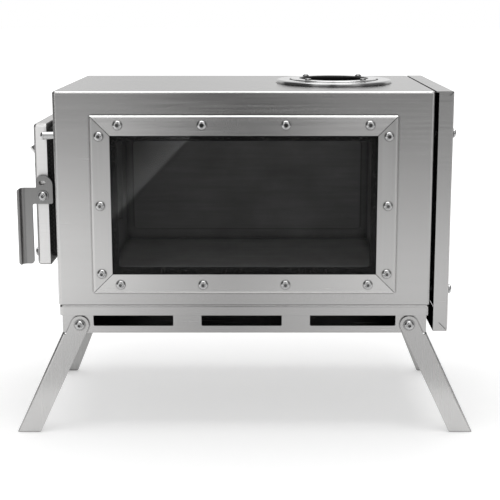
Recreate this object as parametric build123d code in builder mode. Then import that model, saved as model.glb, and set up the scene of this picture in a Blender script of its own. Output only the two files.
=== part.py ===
"""Camping wood stove with a glass front, a side door, a flue collar on top and four folding legs.

Millimetres. +Z is up, +X is to the right as seen from the window side, and +Y goes from the window
to the back. The origin is on the ground, under the middle of the stove.
"""

import os
from math import cos, radians, sin

from build123d import *

os.makedirs("parts", exist_ok=True)

# Levels above the ground
tray_bottom = 107.2
tray_height = 19.5
skirt_height = 11.3
body_height = 218.5

# Body
body_length = 381.0
body_depth = 216.0
sheet = 1.5
corner_radius = 4.0
top_bend_radius = 2.5
end_flange = 27.0
seam = 0.3
running_gap = 0.08
base_screw_length = 9.0
cut_past = 1.0
plate_corner_radius = 4.0

# Pan and tray under the body
skirt_proud = 0.5
pan_end_inset = 1.0
pan_bend_radius = 2.5
tray_front_recess = 2.3
tray_back_recess = 31.3
tray_end_gap = 0.1
tray_flange = 14.0
slot_height = 11.9
slot_radius = 1.5
slot_lengths = (82.0, 82.5, 88.0)
slot_gap = 29.0

# Screws with round heads and hexagon sockets
m5_head_radius = 4.75
m5_head_height = 2.75
m5_shank_radius = 2.5
m5_socket = 3.0
m5_nut_width = 8.0
m5_nut_height = 4.0
m5_hole_radius = 2.75
m4_head_radius = 3.4
m4_head_height = 2.0
m4_shank_radius = 2.0
m4_socket = 2.5
m4_hole_radius = 2.2
m4_nut_width = 7.0
m4_nut_height = 3.0
washer_radius = 5.5
washer_height = 1.0
head_edge_share = 0.3
head_crown_radius_share = 0.78
head_crown_height_share = 0.8
head_top_share = 0.75
socket_depth_share = 0.6

# Window in the front wall
window_side_margin = 36.5
window_low_margin = 12.45
window_high_margin = 23.55
window_hole_radius = 3.0
strip_width = 20.4
frame_rise = 4.0
strip_bend_radius = 3.0
mitre_gap = 0.4
mitre_hole_radius = 1.3
screw_edge_distance = 9.7
row_screw_count = 4
row_screw_end = 28.6
column_screw_count = 3
column_screw_end = 21.05
glass_thickness = 4.0
glass_corner_radius = 2.0
glass_overlap = 4.5
glass_clearance = 1.0
gasket_show = 6.0
gasket_thickness = 2.0
retainer_flange = 15.0
retainer_sheet = 1.2
retainer_corner_radius = 5.0

# Firebox inside the body
liner_end_room = 45.5
liner_back_gap = 8.0
liner_top_gap = 8.0
liner_sheet = 1.2
floor_rise = 22.0
floor_front = 14.0
floor_lip_height = 14.5
floor_lip_radius = 2.5
panel_end_room = 9.0
panel_low_room = 13.0
panel_high_room = 35.5
panel_depth = 2.0
baffle_length = 150.0
baffle_front_room = 64.0
baffle_drop = 42.0
baffle_flange = 14.0
right_flange_inset = 20.0

# Flue collar on top
flue_from_right = 94.5
flue_bore_radius = 35.0
flue_wall = 1.2
flue_drop = 30.0
flue_hole_clearance = 0.8
collar_radius = 46.5
collar_rise = 5.0
ring_rise = 4.0
ring_outer_radius = 62.0
ring_inner_radius = 48.0
ring_bend_radius = 2.0
flue_lip_radius = 2.5
flue_edge_radius = 0.8
flue_screw_circle = 41.2
flue_screw_count = 4
flue_screw_turn = 45.0

# Cover that stands off the right end
cover_gap = 3.0
cover_thickness = 15.0
cover_sheet = 1.2
cover_low_gap = 2.8
cover_bend_radius = 1.5
cover_slit = 0.6
cover_slit_high = 6.4
cover_slit_low = 12.8
stud_inset = 18.0
stud_high_inset = 44.0
stud_low_inset = 12.0
stud_radius = 4.0
stud_stand = 3.0

# Door on the left end
door_side_inset = 24.0
door_low_inset = 35.5
door_high_inset = 35.0
door_outer_face = 24.5
door_flange = 13.4
door_sheet = 1.5
door_bend_radius = 3.6
door_pan_gap = 0.2
feed_side_room = 21.0
feed_end_room = 19.0
collar_rim_offset = 8.0
collar_rim_height = 6.5
door_gasket_width = 8.0
gasket_inner_radius = 1.0
gasket_edge_radius = 0.9
door_screw_inset = 12.0
door_high_screw_inset = 40.0
door_corner_radius = 4.0
door_tab = 7.0

# Air slider on the door's face
intake_radius = 5.0
intake_count = 3
intake_spacing = 18.0
intake_rise = 7.0
slider_front = 42.0
slider_length = 78.0
slider_height = 46.0
slider_high_inset = 35.5
slider_corner_radius = 3.0
slider_travel = 14.0
slider_sheet = 1.5
slider_gap = 0.3
slider_slot_radius = 2.6
slider_slot_inset = 8.0
slider_tab_length = 16.0
slider_tab_reach = 6.6
slider_tab_rise = 9.0
slider_tab_inset = 2.0
slider_tab_root = 4.0
slider_tab_step = 1.0

# Door hinges
hinge_axis_out = 15.5
hinge_back_inset = 19.0
hinge_pin_radius = 2.4
hinge_barrel_radius = 4.5
hinge_barrel_height = 18.0
hinge_ear = 2.0
hinge_ear_gap = 0.3
hinge_end_inset = 31.5
hinge_leaf_width = 12.0
hinge_bracket_half_width = 7.5
bracket_sheet = 1.5
pin_cap_radius = 3.5
pin_cap_height = 1.5

# Latch lever on the door's front edge
lever_pivot_out = 15.7
lever_sheet = 3.0
lever_nose_out = 5.8
lever_nose_radius = 2.0
lever_step_radius = 1.0
lever_inner_radius = 3.0
lobe_left_out = 22.9
lobe_rise = 21.0
lobe_drop = 8.3
lobe_radius = 10.0
lobe_slot_length = 7.0
lobe_slot_width = 4.4
lobe_slot_rise = 13.5
lobe_slot_aside = 0.5
arm_rise = 8.3
grip_left_out = 41.6
grip_right_out = 27.2
grip_drop = 71.3
grip_fold = 6.0
grip_corner_radius = 3.5
grip_roll_radius = 7.3
grip_edge_radius = 1.2
lobe_corner_radius = 6.0
lever_gap = 0.2
lever_nut_room = 6.0
post_high_inset = 46.0
post_inset = 14.0
post_length = 11.5
post_head_radius = 4.2
post_head_height = 3.3
keeper_inset = 21.5
keeper_drop = 1.5
keeper_head_radius = 4.2

# Folding legs, pivoted on the tray's front and back walls
leg_pivot_inset = 21.5
leg_pivot_rise = 9.3
leg_sheet = 2.0
leg_head_radius = 9.2
leg_flange_offset = 13.0
leg_flange_depth = 12.0
leg_bend_radius = 3.0
leg_notch = 16.0
leg_foot_radius = 3.0
front_splay = 25.0
back_splay = 22.0

# Levels and faces that follow
pan_bottom = tray_bottom + tray_height
body_bottom = pan_bottom + skirt_height
body_top = body_bottom + body_height
front_stand_out = frame_rise + m5_head_height
front = -(body_depth + skirt_proud - front_stand_out) / 2
back = front + body_depth
middle = (front + back) / 2
left = -body_length / 2
right = body_length / 2
pan_top = body_bottom
tray_top = pan_top - sheet
tray_front = front + tray_front_recess
tray_back = back - tray_back_recess
tray_depth = tray_back - tray_front
tray_end_inset = pan_end_inset + pan_bend_radius + tray_end_gap
window_length = body_length - 2 * window_side_margin
window_height = body_height - window_low_margin - window_high_margin
window_center_height = body_bottom + window_low_margin + window_height / 2
liner_half_length = right - liner_end_room
floor_height = body_bottom + floor_rise
baffle_height = body_top - baffle_drop
flue_x = right - flue_from_right
cover_bottom = tray_bottom + cover_low_gap
door_width = body_depth - 2 * door_side_inset
door_height = body_height - door_low_inset - door_high_inset
door_bottom = body_bottom + door_low_inset
door_top = body_top - door_high_inset
feed_width = door_width - 2 * feed_side_room
feed_height = door_height - 2 * feed_end_room
post_height = body_top - post_high_inset
lever_pivot_height = (door_bottom + door_top) / 2
keeper_height = lever_pivot_height - keeper_drop
leg_pivot_x = right - leg_pivot_inset
leg_pivot_height = tray_bottom + leg_pivot_rise


def facing(normal, points):
    """Planes at the points, with their normals all one way, to seat screws and nuts on."""
    return [Plane(origin=point, z_dir=normal) for point in points]


def front_plane(y):
    """Plane seen from the window side: its x is +X, its y is +Z, and -amount goes towards the back."""
    return Plane.XZ.offset(-y)


def side_plane(x):
    """Plane across the stove: its x is +Y, its y is +Z, and +amount goes to the right."""
    return Plane.YZ.offset(x)


def button_screw(head_radius, head_height, shank_radius, shank_length, socket):
    """Round-head screw along -Z, its head seated on the plane Z = 0."""
    edge = head_height * head_edge_share
    top_radius = socket * head_top_share
    with BuildPart() as screw:
        with BuildSketch(Plane.XZ):
            with BuildLine():
                Polyline(
                    (0, head_height),
                    (0, -shank_length),
                    (shank_radius, -shank_length),
                    (shank_radius, 0),
                    (head_radius, 0),
                    (head_radius, edge),
                )
                ThreePointArc(
                    (head_radius, edge),
                    (head_radius * head_crown_radius_share, head_height * head_crown_height_share),
                    (top_radius, head_height),
                )
                Line((top_radius, head_height), (0, head_height))
            make_face()
        revolve(axis=Axis.Z)
        with BuildSketch(Plane.XY.offset(head_height)):
            RegularPolygon(socket / 2, 6, major_radius=False)
        extrude(amount=-head_height * socket_depth_share, mode=Mode.SUBTRACT)
    return screw.part


def hexagon_nut(width, height, bore_radius):
    """Nut that stands on the plane Z = 0."""
    with BuildPart() as nut:
        with BuildSketch():
            RegularPolygon(width / 2, 6, major_radius=False)
            Circle(bore_radius, mode=Mode.SUBTRACT)
        extrude(amount=height)
    return nut.part


def ring(outer_radius, bore_radius, height):
    """Washer or sleeve that stands on the plane Z = 0."""
    with BuildPart() as sleeve:
        with BuildSketch():
            Circle(outer_radius)
            Circle(bore_radius, mode=Mode.SUBTRACT)
        extrude(amount=height)
    return sleeve.part


# Places of the window's screws, from the middle of the window
screw_row_height = window_height / 2 - screw_edge_distance
screw_column_x = window_length / 2 - screw_edge_distance


def evenly(count, reach):
    """Places from -reach to reach, the same distance apart."""
    return [reach * (2 * i / (count - 1) - 1) for i in range(count)]


row_offsets = evenly(row_screw_count, window_length / 2 - row_screw_end)
column_offsets = evenly(column_screw_count, window_height / 2 - column_screw_end)
row_places = [(x, side * screw_row_height) for x in row_offsets for side in (1, -1)]
column_places = [(side * screw_column_x, z) for z in column_offsets for side in (1, -1)]
window_screw_places = row_places + column_places
view_length = window_length - 2 * strip_width
view_height = window_height - 2 * strip_width
glass_length = view_length + 2 * glass_overlap
glass_height = view_height + 2 * glass_overlap
window_hole_length = glass_length + 2 * glass_clearance
window_hole_height = glass_height + 2 * glass_clearance

# Places on the body's ends
door_front = front + door_side_inset
door_back = back - door_side_inset
door_y = (door_front + door_back) / 2
door_z = (door_bottom + door_top) / 2
hinge_x = left - hinge_axis_out
hinge_y = back - hinge_back_inset
hinge_levels = (door_bottom + hinge_end_inset, door_top - hinge_end_inset)
stud_levels = (body_bottom + stud_low_inset, body_top - stud_high_inset)
stud_places = [(y, z) for y in (front + stud_inset, back - stud_inset) for z in stud_levels]
flue_radius = flue_bore_radius + flue_wall
end_hole_depth = body_depth - 2 * end_flange
end_hole_height = body_height - end_flange

# Body shell: front, top and back wall in one folded sheet, with flanges round both open ends
with BuildPart() as body_shell:
    with BuildSketch(Plane.XY.offset(body_bottom)):
        with Locations((0, middle)):
            RectangleRounded(body_length, body_depth, corner_radius)
    extrude(amount=body_height)
    fillet(body_shell.edges().group_by(Axis.Z)[-1], top_bend_radius)
    offset(amount=-sheet, openings=body_shell.faces().sort_by(Axis.Z)[0])
    with BuildSketch(side_plane(left - cut_past)):
        with Locations((middle, body_bottom + end_hole_height / 2)):
            Rectangle(end_hole_depth, end_hole_height)
    extrude(amount=body_length + 2 * cut_past, mode=Mode.SUBTRACT)
    with BuildSketch(front_plane(front - cut_past)):
        with Locations((0, window_center_height)):
            RectangleRounded(window_hole_length, window_hole_height, window_hole_radius)
            with Locations(*window_screw_places):
                Circle(m5_hole_radius)
    extrude(amount=-(sheet + 2 * cut_past), mode=Mode.SUBTRACT)
    with BuildSketch(Plane.XY.offset(body_top + cut_past)):
        with Locations((flue_x, middle)):
            Circle(flue_radius + flue_hole_clearance)
            with PolarLocations(flue_screw_circle, flue_screw_count, start_angle=flue_screw_turn):
                Circle(m4_hole_radius)
    extrude(amount=-(sheet + 2 * cut_past), mode=Mode.SUBTRACT)
    with BuildSketch(side_plane(left - cut_past)):
        with Locations((front + post_inset, post_height), (front + keeper_inset, keeper_height)):
            Circle(m5_hole_radius)
    extrude(amount=sheet + 2 * cut_past, mode=Mode.SUBTRACT)
    with BuildSketch(side_plane(right - sheet - cut_past)):
        with Locations(*stud_places):
            Circle(m5_hole_radius)
    extrude(amount=sheet + 2 * cut_past, mode=Mode.SUBTRACT)
body_shell.part.label = "body_shell"
export_step(body_shell.part, "parts/body_shell.step")

# Plates behind the end flanges; the left one has the feed opening
end_plate_depth = body_depth - 2 * (corner_radius + seam)
end_plate_height = body_height - corner_radius - seam
end_plate_x = right - sheet
with BuildPart() as left_end_plate:
    with BuildSketch(side_plane(-end_plate_x)):
        with Locations((middle, body_bottom + end_plate_height / 2)):
            Rectangle(end_plate_depth, end_plate_height)
        with Locations((door_y, door_z)):
            RectangleRounded(feed_width, feed_height, plate_corner_radius, mode=Mode.SUBTRACT)
        with Locations((front + post_inset, post_height), (front + keeper_inset, keeper_height)):
            Circle(m5_hole_radius, mode=Mode.SUBTRACT)
    extrude(amount=sheet)
left_end_plate.part.label = "left_end_plate"
export_step(left_end_plate.part, "parts/left_end_plate.step")

with BuildPart() as right_end_wall:
    with BuildSketch(side_plane(end_plate_x)):
        with Locations((middle, body_bottom + end_plate_height / 2)):
            Rectangle(end_plate_depth, end_plate_height)
        with Locations(*stud_places):
            Circle(m5_hole_radius, mode=Mode.SUBTRACT)
    extrude(amount=-sheet)
right_end_wall.part.label = "right_end_wall"
export_step(right_end_wall.part, "parts/right_end_wall.step")

# Collar round the feed opening: a frame on the end plate and a rim that the door's gasket meets
rim_width = feed_width + 2 * collar_rim_offset
rim_height = feed_height + 2 * collar_rim_offset
collar_base_x = -end_plate_x - sheet
with BuildPart() as door_collar:
    with BuildSketch(side_plane(-end_plate_x)):
        with Locations((door_y, door_z)):
            Rectangle(rim_width + 2 * sheet, rim_height + 2 * sheet)
            RectangleRounded(feed_width, feed_height, plate_corner_radius, mode=Mode.SUBTRACT)
    extrude(amount=-sheet)
    with BuildSketch(side_plane(collar_base_x)):
        with Locations((door_y, door_z)):
            Rectangle(rim_width + 2 * sheet, rim_height + 2 * sheet)
            Rectangle(rim_width, rim_height, mode=Mode.SUBTRACT)
    extrude(amount=-collar_rim_height)
door_collar.part.label = "door_collar"
export_step(door_collar.part, "parts/door_collar.step")

# Places under the body
tray_length = body_length - 2 * tray_end_inset
tray_middle = (tray_front + tray_back) / 2
base_screw_places = [
    (x * (tray_length - tray_flange) / 2, tray_middle + y * tray_depth / 4)
    for x in (-1, 1)
    for y in (-1, 1)
]
slots_length = sum(slot_lengths) + slot_gap * (len(slot_lengths) - 1)
slot_starts = [
    -slots_length / 2 + sum(slot_lengths[:i]) + slot_gap * i for i in range(len(slot_lengths))
]
slot_center_height = pan_bottom - slot_height / 2
leg_pivots = [(-leg_pivot_x, leg_pivot_height), (leg_pivot_x, leg_pivot_height)]

# Bottom pan: a plate under the body with a skirt turned down all round
with BuildPart() as bottom_pan:
    with BuildSketch(Plane.XY.offset(pan_bottom)):
        with Locations((0, middle)):
            RectangleRounded(
                body_length - 2 * pan_end_inset, body_depth + 2 * skirt_proud, corner_radius
            )
    extrude(amount=skirt_height)
    fillet(bottom_pan.edges().group_by(Axis.Z)[-1], pan_bend_radius)
    offset(amount=-sheet, openings=bottom_pan.faces().sort_by(Axis.Z)[0])
    with BuildSketch(Plane.XY.offset(pan_top)):
        with Locations(*base_screw_places):
            Circle(m4_hole_radius)
    extrude(amount=-sheet, mode=Mode.SUBTRACT)
bottom_pan.part.label = "bottom_pan"
export_step(bottom_pan.part, "parts/bottom_pan.step")

# Base tray: a low box under the pan that carries the legs, with three air slots in front
with BuildPart() as base_tray:
    with BuildSketch(Plane.XY.offset(tray_bottom)):
        with Locations((0, tray_middle)):
            Rectangle(tray_length, tray_depth)
    extrude(amount=tray_top - tray_bottom)
    fillet(base_tray.edges().group_by(Axis.Z)[0], sheet / 2)
    with BuildSketch(Plane.XY.offset(tray_bottom + sheet)):
        with Locations((0, tray_middle)):
            Rectangle(tray_length - 2 * sheet, tray_depth - 2 * sheet)
    extrude(amount=tray_top - tray_bottom - 2 * sheet, mode=Mode.SUBTRACT)
    with BuildSketch(Plane.XY.offset(tray_top)):
        with Locations((0, tray_middle)):
            Rectangle(tray_length - 2 * tray_flange, tray_depth - 2 * tray_flange)
        with Locations(*base_screw_places):
            Circle(m4_hole_radius)
    extrude(amount=-sheet, mode=Mode.SUBTRACT)
    with BuildSketch(front_plane(tray_front)):
        for start, length in zip(slot_starts, slot_lengths):
            with Locations((start + length / 2, slot_center_height)):
                RectangleRounded(length, slot_height, slot_radius)
    extrude(amount=-sheet, mode=Mode.SUBTRACT)
    with BuildSketch(front_plane(tray_front - cut_past)):
        with Locations(*leg_pivots):
            Circle(m5_hole_radius)
    extrude(amount=-(tray_depth + 2 * cut_past), mode=Mode.SUBTRACT)
base_tray.part.label = "base_tray"
export_step(base_tray.part, "parts/base_tray.step")

# Screws that hold the tray's flanges to the pan, and the nuts under the flanges
base_screw = button_screw(m4_head_radius, m4_head_height, m4_shank_radius, base_screw_length, m4_socket)
m4_nut = hexagon_nut(m4_nut_width, m4_nut_height, m4_shank_radius)
with BuildPart() as base_screws:
    with Locations(*facing((0, 0, 1), [(x, y, pan_top) for x, y in base_screw_places])):
        add(base_screw)
base_screws.part.label = "base_screws"
export_step(base_screws.part, "parts/base_screws.step")

with BuildPart() as base_nuts:
    with Locations(*facing((0, 0, -1), [(x, y, tray_top - sheet) for x, y in base_screw_places])):
        add(m4_nut)
base_nuts.part.label = "base_nuts"
export_step(base_nuts.part, "parts/base_nuts.step")

# Window frame: four folded strips with mitred ends, held by round-head screws


def window_strip(length, screw_offsets):
    """Strip along X with its outer edge on Y = 0, its foot on Z = 0 and its face at the frame's rise."""
    with BuildPart() as strip:
        with BuildSketch(Plane.YZ.offset(-length / 2)):
            with BuildLine():
                FilletPolyline(
                    (0, 0),
                    (0, frame_rise),
                    (-strip_width, frame_rise),
                    (-strip_width, frame_rise - sheet),
                    (-sheet, frame_rise - sheet),
                    (-sheet, 0),
                    radius=(0, strip_bend_radius, 0, 0, strip_bend_radius - sheet, 0),
                    close=True,
                )
            make_face()
        extrude(amount=length)
        inner_end = length / 2 - strip_width - mitre_gap
        outer_end = length / 2 - mitre_gap
        with BuildSketch():
            for side in (-1, 1):
                with BuildLine():
                    Polyline(
                        (side * outer_end, 0),
                        (side * inner_end, -strip_width),
                        (side * (inner_end - cut_past), -strip_width - cut_past),
                        (side * (length / 2 + cut_past), -strip_width - cut_past),
                        (side * (length / 2 + cut_past), cut_past),
                        (side * (outer_end + cut_past), cut_past),
                        close=True,
                    )
                make_face()
            with Locations((length / 2, 0), (-length / 2, 0)):
                Circle(mitre_hole_radius)
            with Locations(*[(x, -screw_edge_distance) for x in screw_offsets]):
                Circle(m5_hole_radius)
        extrude(amount=frame_rise, mode=Mode.SUBTRACT)
    return strip.part


long_strip = window_strip(window_length, row_offsets)
short_strip = window_strip(window_height, column_offsets)
strip_names = ("window_frame_top", "window_frame_bottom", "window_frame_left", "window_frame_right")
strip_sides = ((0, 1), (0, -1), (-1, 0), (1, 0))
for name, (side_x, side_z) in zip(strip_names, strip_sides):
    outer_edge = (
        side_x * window_length / 2,
        front,
        window_center_height + side_z * window_height / 2,
    )
    along = (side_z, 0, -side_x)
    with BuildPart() as frame_strip:
        with Locations(Plane(origin=outer_edge, x_dir=along, z_dir=(0, -1, 0))):
            add(long_strip if side_z else short_strip)
    frame_strip.part.label = name
    export_step(frame_strip.part, f"parts/{name}.step")

# Glass: one pane in the wall's opening, under the inner edges of the strips
glass_front = front - frame_rise + sheet
glass_back = glass_front + glass_thickness
with BuildPart() as window_glass:
    with BuildSketch(front_plane(glass_front)):
        with Locations((0, window_center_height)):
            RectangleRounded(glass_length, glass_height, glass_corner_radius)
    extrude(amount=-glass_thickness)
window_glass.part.label = "window_glass"
export_step(window_glass.part, "parts/window_glass.step")

# Gasket tape behind the edge of the glass
gasket_view = (view_length - 2 * gasket_show, view_height - 2 * gasket_show)
with BuildPart() as window_gasket:
    with BuildSketch(front_plane(glass_back)):
        with Locations((0, window_center_height)):
            RectangleRounded(glass_length, glass_height, glass_corner_radius)
            RectangleRounded(*gasket_view, window_hole_radius, mode=Mode.SUBTRACT)
    extrude(amount=-gasket_thickness)
window_gasket.part.label = "window_gasket"
export_step(window_gasket.part, "parts/window_gasket.step")

# Retainer: a pressed ring behind the wall, with a rim that holds the gasket against the glass
retainer_front = front + sheet
rim_front = glass_back + gasket_thickness
rim_length = glass_length + 2 * seam
rim_height_out = glass_height + 2 * seam
rim_outside = (rim_length + 2 * retainer_sheet, rim_height_out + 2 * retainer_sheet)
retainer_length = window_hole_length + 2 * retainer_flange
retainer_height = window_hole_height + 2 * retainer_flange
with BuildPart() as window_retainer:
    with BuildSketch(front_plane(retainer_front)):
        with Locations((0, window_center_height)):
            RectangleRounded(retainer_length, retainer_height, retainer_corner_radius)
            Rectangle(rim_length, rim_height_out, mode=Mode.SUBTRACT)
            with Locations(*window_screw_places):
                Circle(m5_hole_radius, mode=Mode.SUBTRACT)
    extrude(amount=-retainer_sheet)
    with BuildSketch(front_plane(retainer_front)):
        with Locations((0, window_center_height)):
            RectangleRounded(*rim_outside, window_hole_radius)
            Rectangle(rim_length, rim_height_out, mode=Mode.SUBTRACT)
    extrude(amount=-(rim_front + retainer_sheet - retainer_front))
    with BuildSketch(front_plane(rim_front)):
        with Locations((0, window_center_height)):
            RectangleRounded(*rim_outside, window_hole_radius)
            RectangleRounded(*gasket_view, window_hole_radius, mode=Mode.SUBTRACT)
    extrude(amount=-retainer_sheet)
window_retainer.part.label = "window_retainer"
export_step(window_retainer.part, "parts/window_retainer.step")

# The window's screws and the nuts behind its retainer
window_nut_front = retainer_front + retainer_sheet
window_screw_front = front - frame_rise
window_screw_length = window_nut_front + m5_nut_height - window_screw_front
window_screw = button_screw(
    m5_head_radius, m5_head_height, m5_shank_radius, window_screw_length, m5_socket
)
m5_nut = hexagon_nut(m5_nut_width, m5_nut_height, m5_shank_radius)
window_points = [(x, z + window_center_height) for x, z in window_screw_places]
with BuildPart() as window_screws:
    with Locations(*facing((0, -1, 0), [(x, window_screw_front, z) for x, z in window_points])):
        add(window_screw)
window_screws.part.label = "window_screws"
export_step(window_screws.part, "parts/window_screws.step")

with BuildPart() as window_nuts:
    with Locations(*facing((0, 1, 0), [(x, window_nut_front, z) for x, z in window_points])):
        add(m5_nut)
window_nuts.part.label = "window_nuts"
export_step(window_nuts.part, "parts/window_nuts.step")

# Firebox floor: a plate on two folded feet, with a lip in front that keeps the logs off the glass
liner_back = back - liner_back_gap
floor_length = 2 * (liner_half_length - seam)
floor_y = front + floor_front
with BuildPart() as firebox_floor:
    with BuildSketch(side_plane(-floor_length / 2)):
        with BuildLine():
            FilletPolyline(
                (floor_y, body_bottom),
                (floor_y, floor_height + floor_lip_height),
                (floor_y + sheet, floor_height + floor_lip_height),
                (floor_y + sheet, floor_height),
                (liner_back - seam, floor_height),
                (liner_back - seam, body_bottom),
                (liner_back - seam - sheet, body_bottom),
                (liner_back - seam - sheet, floor_height - sheet),
                (floor_y + sheet, floor_height - sheet),
                (floor_y + sheet, body_bottom),
                radius=(0, 0, 0, floor_lip_radius, 0, 0, 0, 0, 0, 0),
                close=True,
            )
        make_face()
    extrude(amount=floor_length)
firebox_floor.part.label = "firebox_floor"
export_step(firebox_floor.part, "parts/firebox_floor.step")

# Rear liner: a plate that stands on the pan, pressed forward in the middle to keep it flat
liner_top = body_top - liner_top_gap
panel_length = 2 * (liner_half_length - panel_end_room)
panel_bottom = floor_height + panel_low_room
panel_top = baffle_height - panel_high_room
panel_height = panel_top - panel_bottom
panel_center_height = (panel_top + panel_bottom) / 2
with BuildPart() as rear_liner:
    with BuildSketch(front_plane(liner_back)):
        with Locations((0, (body_bottom + liner_top) / 2)):
            Rectangle(2 * (liner_half_length + liner_sheet), liner_top - body_bottom)
    extrude(amount=-liner_sheet)
    with BuildSketch(front_plane(liner_back)):
        with Locations((0, panel_center_height)):
            RectangleRounded(panel_length, panel_height, plate_corner_radius)
    extrude(amount=panel_depth)
    with BuildSketch(front_plane(liner_back + liner_sheet)):
        with Locations((0, panel_center_height)):
            RectangleRounded(
                panel_length - 2 * liner_sheet,
                panel_height - 2 * liner_sheet,
                plate_corner_radius - liner_sheet,
            )
    extrude(amount=panel_depth, mode=Mode.SUBTRACT)
rear_liner.part.label = "rear_liner"
export_step(rear_liner.part, "parts/rear_liner.step")

# Side liners stand on the pan; the left one has a chute from the feed opening to the firebox
liner_height = liner_top - body_bottom
liner_y = (floor_y + liner_back) / 2
liner_depth = liner_back - floor_y
chute_length = end_plate_x - sheet - liner_half_length
with BuildPart() as left_liner:
    with BuildSketch(side_plane(-liner_half_length)):
        with Locations((liner_y, body_bottom + liner_height / 2)):
            Rectangle(liner_depth, liner_height)
    extrude(amount=-liner_sheet)
    with BuildSketch(side_plane(-liner_half_length)):
        with Locations((door_y, door_z)):
            RectangleRounded(
                feed_width + 2 * liner_sheet,
                feed_height + 2 * liner_sheet,
                plate_corner_radius + liner_sheet,
            )
    extrude(amount=-chute_length)
    with BuildSketch(side_plane(-liner_half_length)):
        with Locations((door_y, door_z)):
            RectangleRounded(feed_width, feed_height, plate_corner_radius)
    extrude(amount=-chute_length, mode=Mode.SUBTRACT)
left_liner.part.label = "left_liner"
export_step(left_liner.part, "parts/left_liner.step")

# The right liner has two flanges that reach the right end wall
right_flange_length = end_plate_x - sheet - liner_half_length
with BuildPart() as right_liner:
    with BuildSketch(side_plane(liner_half_length)):
        with Locations((liner_y, body_bottom + liner_height / 2)):
            Rectangle(liner_depth, liner_height)
    extrude(amount=liner_sheet)
    with BuildSketch(side_plane(liner_half_length)):
        with Locations(
            (floor_y + right_flange_inset, body_bottom + liner_height / 2),
            (liner_back - right_flange_inset, body_bottom + liner_height / 2),
        ):
            Rectangle(liner_sheet, liner_height)
    extrude(amount=right_flange_length)
right_liner.part.label = "right_liner"
export_step(right_liner.part, "parts/right_liner.step")

# Smoke baffle under the flue, with flanges against the back and right liners
baffle_depth = liner_depth - baffle_front_room
with BuildPart() as smoke_baffle:
    with BuildSketch(Plane.XY.offset(baffle_height)):
        with Locations((liner_half_length, liner_back)):
            Rectangle(baffle_length, baffle_depth, align=(Align.MAX, Align.MAX))
    extrude(amount=sheet)
    with BuildSketch(Plane.XY.offset(baffle_height)):
        with Locations((liner_half_length, liner_back)):
            Rectangle(baffle_length, sheet, align=(Align.MAX, Align.MAX))
            Rectangle(sheet, baffle_depth, align=(Align.MAX, Align.MAX))
    extrude(amount=baffle_flange)
smoke_baffle.part.label = "smoke_baffle"
export_step(smoke_baffle.part, "parts/smoke_baffle.step")

# Heat ring on the top: a shallow pressed channel round the flue collar
flue_plane = Plane(origin=(flue_x, middle, body_top), x_dir=(1, 0, 0), z_dir=(0, -1, 0))
flue_axis = Axis((flue_x, middle, 0), (0, 0, 1))
with BuildPart() as flue_ring:
    with BuildSketch(flue_plane):
        with BuildLine():
            FilletPolyline(
                (ring_inner_radius, 0),
                (ring_inner_radius, ring_rise),
                (ring_outer_radius, ring_rise),
                (ring_outer_radius, 0),
                (ring_outer_radius - flue_wall, 0),
                (ring_outer_radius - flue_wall, ring_rise - flue_wall),
                (ring_inner_radius + flue_wall, ring_rise - flue_wall),
                (ring_inner_radius + flue_wall, 0),
                radius=(0, flue_edge_radius, ring_bend_radius, 0, 0, ring_bend_radius - flue_wall, 0, 0),
                close=True,
            )
        make_face()
    revolve(axis=flue_axis)
flue_ring.part.label = "flue_ring"
export_step(flue_ring.part, "parts/flue_ring.step")

# Flue collar: a tube for the chimney with a flange on the top
flue_screw_plane = Plane(origin=(flue_x, middle, body_top + collar_rise))
with BuildPart() as flue_collar:
    with BuildSketch(flue_plane):
        with BuildLine():
            FilletPolyline(
                (flue_bore_radius, -flue_drop),
                (flue_bore_radius, collar_rise),
                (collar_radius, collar_rise),
                (collar_radius, 0),
                (collar_radius - flue_wall, 0),
                (collar_radius - flue_wall, collar_rise - flue_wall),
                (flue_radius, collar_rise - flue_wall),
                (flue_radius, -flue_drop),
                radius=(0, flue_lip_radius, flue_edge_radius, 0, 0, 0, flue_lip_radius - flue_wall, 0),
                close=True,
            )
        make_face()
    revolve(axis=flue_axis)
    with BuildSketch(flue_screw_plane):
        with PolarLocations(flue_screw_circle, flue_screw_count, start_angle=flue_screw_turn):
            Circle(m4_hole_radius)
    extrude(amount=-2 * flue_wall, mode=Mode.SUBTRACT)
flue_collar.part.label = "flue_collar"
export_step(flue_collar.part, "parts/flue_collar.step")

flue_screw_length = collar_rise + sheet + m4_nut_height
flue_screw = button_screw(m4_head_radius, m4_head_height, m4_shank_radius, flue_screw_length, m4_socket)
flue_nut_plane = Plane(origin=(flue_x, middle, body_top - sheet), z_dir=(0, 0, -1))
with BuildPart() as flue_screws:
    with Locations(flue_screw_plane):
        with PolarLocations(flue_screw_circle, flue_screw_count, start_angle=flue_screw_turn):
            add(flue_screw)
flue_screws.part.label = "flue_screws"
export_step(flue_screws.part, "parts/flue_screws.step")

with BuildPart() as flue_nuts:
    with Locations(flue_nut_plane):
        with PolarLocations(flue_screw_circle, flue_screw_count, start_angle=flue_screw_turn):
            add(m4_nut)
flue_nuts.part.label = "flue_nuts"
export_step(flue_nuts.part, "parts/flue_nuts.step")

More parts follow.
